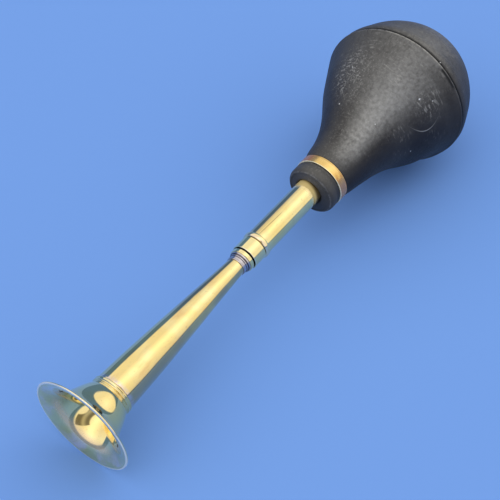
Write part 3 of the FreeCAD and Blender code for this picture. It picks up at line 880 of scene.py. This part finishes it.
mouth_edge = smooth_line([
    (neck_front + neck_mouth_depth, tube_radius + 0.1), (neck_front + 0.7, neck_mouth_radius - 0.2),
    (neck_front + 0.1, neck_mouth_radius + 0.5), (neck_front, neck_mouth_radius + 1.5)], bend_steps)
face = smooth_line([(neck_front + 0.02, 12.5), (neck_front + 0.3, 14.2), (neck_front + 0.45, 15.6),
                    (neck_front + 0.25, 16.5), (neck_front + neck_face_fall, neck_face_radius)], face_steps)
lip_edge = smooth_line([(neck_front + neck_face_fall + 0.15, neck_face_radius + 0.3),
                        (neck_front + 1.3, neck_lip_radius - 0.75), (neck_front + 2.4, neck_lip_radius - 0.2),
                        (neck_front + 3.6, neck_lip_radius)], lip_steps)
lip_back = ring_arc((seat_front - seat_room, neck_lip_radius - seat_room), seat_room, math.pi / 2, 0, 6)
seat = np.concatenate([lip_back, [(seat_front, seat_radius), (seat_back, seat_radius)]])
seam_lip = smooth_line([(flank_end, crest), (flank_end + 0.6, girth_radius - 0.15),
                        (seam_place - 1.0, girth_radius), (seam_place - 0.2, girth_radius - 0.12),
                        (seam_place, girth_radius - 0.45)], bend_steps)
bulb_outline = np.concatenate([
    mouth_edge, face, lip_edge, seat, flank, seam_lip, [(seam_place, hollow[-1][1])], hollow[::-1],
    throat[::-1], [(bore_end, tube_radius)]])
front_half = turned("bulb_front_rubber", bulb_outline, fine_round, hanging)


rubber_dark = (0.015, 0.012, 0.011)
rubber_grey = (0.054, 0.050, 0.045)
dust_and_light_grey = (0.156, 0.148, 0.134)
sheen_grey = (0.37, 0.36, 0.335)
scuff_grey = (0.50, 0.48, 0.43)
speck_pale = (0.72, 0.71, 0.68)
split_black = (0.004, 0.004, 0.004)
specks = [(321.9, -45.7, 1.0), (293.7, 31.6, 0.75), (317.7, 28.8, 0.6), (291.9, -31.6, 0.6),
          (328.4, -54.1, 0.6), (308.5, -96.3, 0.65), (346.8, -34.5, 0.55), (356.0, 140.0, 0.7),
          (322.0, 165.0, 0.6), (300.0, -170.0, 0.6)]
scratch_place, scratch_angle = 314.2, math.radians(-73.8)
crack_angle = math.radians(-46.5)
top_angle, top_spread = -0.10, 1.5
top_at_pole = 0.55
sheen_angle, sheen_spread = -0.41, 0.62
sheen_start, sheen_full = 246.0, 274.0
sheen_fade, sheen_low = 290.0, 346.0
patch_start, patch_full = 264.0, 286.0
dust_start, dust_full = 285.0, 306.0
dark_place, dark_reach = 339.0, 6.0
dark_angle, dark_spread = -1.1, 0.9
left_scuff_angle, left_scuff_spread = 0.55, 0.55
left_scuff_place, left_scuff_reach = 314.0, 24.0
right_scuff_angle, right_scuff_spread = -0.95, 0.36
right_scuff_place, right_scuff_reach = 324.0, 14.0
pole_fade, pole_full = 10.0, 1.0
rubber_relief = 0.24


def rubber(name, dust_and_sheen):
    """Old moulded rubber: near black, with dust along its top, where it is also painted lighter as if lit, and
    a painted sheen along the top, which fade down its flanks; wrinkles and scuffs that run round it, specks, a
    scratch, edges at lip and seam painted pale with wear and a painted highlight, painted shade on the right
    flank before the seam, and a crack at the seam.

    What follows the angle fades out near the pole, where all angles meet."""
    finish = Finish(name, "horn_mm", Metallic=0.0, Specular_IOR_Level=0.28)
    x, angle = finish.x, finish.angle
    rolled = x.node("CombineXYZ", None, {0: x, 1: 18 * angle, 2: 0.0})
    cloud = finish.place.noise(0.035, 5.0)
    mottle = finish.place.noise(0.40, 6.0)
    grain = finish.place.noise(2.6, 3.0)
    off_pole = x.rise(bulb_end - pole_full, bulb_end - pole_fade)
    wrinkle = 0.5 + off_pole * (rolled.stretched(2.2, 0.22, 1.0).noise(1.0, 4.0) - 0.5)
    fleck = off_pole * rolled.stretched(0.8, 0.42, 1.0).noise(1.0, 5.0).rise(0.53, 0.66)
    crumb = finish.place.noise(0.9, 5.0).rise(0.55, 0.65)
    patch = finish.place.noise(0.05, 2.0).rise(0.48, 0.62) * x.rise(patch_start, patch_full) * 0.7
    mottled = 0.50 + 1.5 * (mottle - 0.5) + 0.55 * cloud
    left_scuffs = angle.hump(left_scuff_angle, left_scuff_spread)
    left_scuffs = left_scuffs * x.hump(left_scuff_place, left_scuff_reach)
    right_scuffs = angle.hump(right_scuff_angle, right_scuff_spread)
    right_scuffs = right_scuffs * x.hump(right_scuff_place, right_scuff_reach)
    # Dust along the top, where the rubber is also painted lighter as if lit from above.
    top_dust_and_light = top_at_pole + off_pole * (angle.hump(top_angle, top_spread) - top_at_pole)
    # Painted sheen: a lighter band along the top, with some bloom.
    painted_sheen = off_pole * angle.hump(sheen_angle, sheen_spread) * x.rise(sheen_start, sheen_full)
    painted_sheen = painted_sheen * (1 - 0.62 * x.rise(sheen_fade, sheen_low))
    colour = tint(cloud.rise(0.36, 0.64) * (0.35 + 0.65 * top_dust_and_light), rubber_dark, rubber_grey)
    dust_and_light = top_dust_and_light * mottled * (0.35 + 0.65 * x.rise(dust_start, dust_full)) * 0.85 * dust_and_sheen
    colour = tint(dust_and_light, colour, dust_and_light_grey)
    colour = tint((painted_sheen * mottled * 0.95 * dust_and_sheen).maths("MINIMUM", 1.0), colour, sheen_grey)
    scuffs = fleck * (patch + left_scuffs + 0.8 * right_scuffs)
    scuffs = scuffs + crumb * (0.3 * top_dust_and_light + 1.2 * left_scuffs + 0.5 * right_scuffs)
    colour = tint((scuffs * (0.25 + 0.75 * top_dust_and_light)).maths("MINIMUM", 1.0) * 0.5, colour, scuff_grey)
    # The seam's edge is painted paler: dust, and a painted highlight where the edge catches the light.
    seam_edge = x.hump(seam_place - 0.7, 0.9) * angle.hump(-0.15, 1.2)
    colour = tint(seam_edge * mottle.rise(0.3, 0.6) * 0.6, colour, scuff_grey)
    # Painted shade: the right flank is darkened just in front of the seam.
    painted_seam_shade = x.hump(dark_place, dark_reach) * angle.hump(dark_angle, dark_spread)
    colour = tint(painted_seam_shade * 0.45, colour, rubber_dark)
    groove = x.rise(seam_place - 0.3, seam_place + 0.2) * x.rise(seam_place + 3.0, seam_place + 1.0) * 0.9
    crack = x.hump(seam_place - 1.7, 1.7) * (angle - crack_angle).maths("ABSOLUTE").rise(0.17, 0.12)
    colour = tint(groove.maths("MAXIMUM", crack), colour, split_black)
    # The lip's ridge is painted paler: wear, and a painted highlight on the edge.
    lip_ridge = x.hump(neck_front + 0.7, 1.0) * finish.off_axis.hump(neck_face_radius + 0.4, 0.8)
    colour = tint(lip_ridge * mottle.rise(0.35, 0.65) * 0.4, colour, sheen_grey)
    lip = x.rise(neck_front + 8.0, neck_front + 6.0) * (0.35 + 0.65 * mottle)
    colour = tint(lip * 0.35 * dust_and_sheen, colour, dust_and_light_grey)
    run = x - scratch_place
    arc = (angle - scratch_angle) * finish.off_axis - (0.084 * run * run - 0.9 * run)
    colour = tint(arc.hump(0.0, 0.55) * run.hump(4.0, 11.0) * 0.7, colour, scuff_grey)
    for speck_x, degrees, size in specks:
        around = (angle - math.radians(degrees)) * finish.off_axis
        speck = (x - speck_x).maths("ABSOLUTE") + around.maths("ABSOLUTE")
        colour = tint(speck.rise(size, 0.5 * size), colour, speck_pale)
    finish.link(Base_Color=colour, Roughness=0.42 + 0.18 * mottle + 0.08 * fleck)
    finish.bump(0.35 * grain + 0.35 * mottle + 0.3 * wrinkle, rubber_relief)
    return finish


rubber("bulb_rubber_dust_and_sheen", 1.0).on(front_half)
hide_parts("bulb_front")


def axis_place(x):
    """The point of the horn's axis at x, in metres."""
    return tuple(mouth_centre + METRES * x * along)


axis_place(tube_end + 5)
axis_place(seam_place - 3)
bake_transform(front_half)


# Bulb, rear half: a dome moulded apart and joined to the front half at the seam. It is a little smaller
# there, so a dark groove runs round behind the lip.
seam_groove = 1.1
dome_steps, hollow_steps, foot_steps = 90, 60, 10
dome_shares = [(0.05, 0.9985), (0.2, 0.958), (0.4, 0.879), (0.6, 0.762), (0.75, 0.635), (0.87, 0.475),
               (0.95, 0.308), (0.985, 0.178)]
_, dome_back, dome_radius = reach("bulb_rear")


def dome(radius, back, count):
    """A dome's outline from the seam to its pole: square to the seam, and flat at the pole."""
    length = back - seam_place
    points = [(seam_place + length * far, radius * left) for far, left in dome_shares]
    return smooth_line(points + [(back, 0.0)], count, (1.0, 0.0), (0.0, -1.0))


foot_radius = dome_radius - seam_groove
seam_foot = smooth_line([
    (seam_place, foot_radius), (seam_place + 0.4, foot_radius + 0.15), (seam_place + 1.3, dome_radius - 0.25),
    (seam_place + 2.0, dome_radius - 0.08)], foot_steps)
dome_outline = np.concatenate([
    dome(dome_radius - rubber_wall, dome_back - rubber_wall, hollow_steps)[::-1],
    [(seam_place, dome_radius - rubber_wall)], seam_foot, dome(dome_radius, dome_back, dome_steps)])
rear_half = turned("bulb_rear_rubber", dome_outline, fine_round, hanging)
rubber("bulb_rubber_rear", 0.75).on(rear_half)
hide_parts("bulb_rear")
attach(rear_half, "bulb_back")


# Studio: a plain sheet of pale blue paper under the horn, in a white tent that is brightest in a band
# overhead. Blue paper hangs dimly behind the far side up to a straight edge, and the tent has a dark opening
# on the camera's side, which shows in the brass.
paper_half = 6.0
paper_colour = (0.18, 0.37, 0.84)
tent_light = 0.94
backdrop_dim = 0.4
band_light = 0.42
band_square = (0.356, 0.921, 0.157)
band_half = 0.5
backdrop_turn = math.radians(55)
backdrop_climb = 0.60
low_edge, low_lean, low_blur = 0.13, 0.13, 0.06
edge_blur = 0.02
opening_turn = math.radians(-137)
opening_half = 0.26
opening_low, opening_high = 0.30, 0.83
opening_dark = 0.8
opening_glow, glow_climb, glow_reach = 0.3, 0.63, 0.14
paper_mesh = bpy.data.meshes.new("paper")
paper_mesh.from_pydata([(-paper_half, -paper_half, 0.0), (paper_half, -paper_half, 0.0),
                        (paper_half, paper_half, 0.0), (-paper_half, paper_half, 0.0)], [], [(0, 1, 2, 3)])
paper = bpy.data.objects.new("paper", paper_mesh)
bpy.context.scene.collection.objects.link(paper)
Finish("pale_paper", Metallic=0.0, Roughness=0.9, Base_Color=(*paper_colour, 1.0)).on(paper)

world = bpy.data.worlds.new("tent")
bpy.context.scene.world = world
world.use_nodes = True
background = world.node_tree.nodes["Background"]
toward = Shade(background.outputs[0]).node("TexCoord")
climb = toward.part(2)
away = toward.dotted((math.cos(backdrop_turn), math.sin(backdrop_turn), 0.0))
beside = toward.dotted((-math.sin(opening_turn), math.cos(opening_turn), 0.0)).maths("ABSOLUTE")
facing = toward.dotted((math.cos(opening_turn), math.sin(opening_turn), 0.0))
under = (climb + low_lean * toward.part(0) - low_edge).rise(low_blur, -low_blur)
on_paper = (backdrop_climb * away - climb).rise(-edge_blur, edge_blur).maths("MAXIMUM", under)
opening = beside.rise(opening_half + edge_blur, opening_half - edge_blur) * facing.rise(0.0, 0.1)
opening = opening * climb.rise(opening_low - edge_blur, opening_low + edge_blur)
opening = opening * climb.rise(opening_high + edge_blur, opening_high - edge_blur)
band = 1 - toward.dotted(band_square).maths("ABSOLUTE").rise(0.0, band_half)
tent = tent_light + band_light * band * climb.rise(0.1, 0.6)
tent = tent * (1 - opening * (opening_dark - opening_glow * climb.hump(glow_climb, glow_reach)))
tent = tent * (1 - backdrop_dim * on_paper)
lit = tint(on_paper, (1.0, 1.0, 1.0), paper_colour)
world.node_tree.links.new(lit.socket, background.inputs["Color"])
world.node_tree.links.new(tent.socket, background.inputs["Strength"])


# Camera: at the photograph's viewing angle and distance, from where the mouth shows at the lower left. The
# mouth's place is given to the right of, below and in front of the lens, in millimetres.
view_drop = math.radians(48.7)
view_turn = math.radians(37.57)
mouth_in_view = (-102.43, 107.38, 849.23)
forward = np.array([math.cos(view_drop) * math.cos(view_turn), math.cos(view_drop) * math.sin(view_turn),
                    -math.sin(view_drop)])
rightward = np.array([math.sin(view_turn), -math.cos(view_turn), 0.0])
downward = np.cross(forward, rightward)
eye = mouth_centre - METRES * (np.array(mouth_in_view) @ np.stack([rightward, downward, forward]))
focal_length, film_width = 100.8, 36.0
nearest, farthest = 0.01, 50.0
lens = bpy.data.cameras.new("camera")
lens.lens, lens.sensor_width = focal_length, film_width
lens.clip_start, lens.clip_end = nearest, farthest
camera = bpy.data.objects.new("camera", lens)
bpy.context.scene.collection.objects.link(camera)
camera_matrix = np.eye(4)
camera_matrix[:3, 0], camera_matrix[:3, 1], camera_matrix[:3, 2] = rightward, -downward, -forward
camera_matrix[:3, 3] = eye
camera.matrix_world = Matrix(camera_matrix.tolist())
bpy.context.scene.camera = camera
bpy.context.scene.view_settings.view_transform = "Standard"
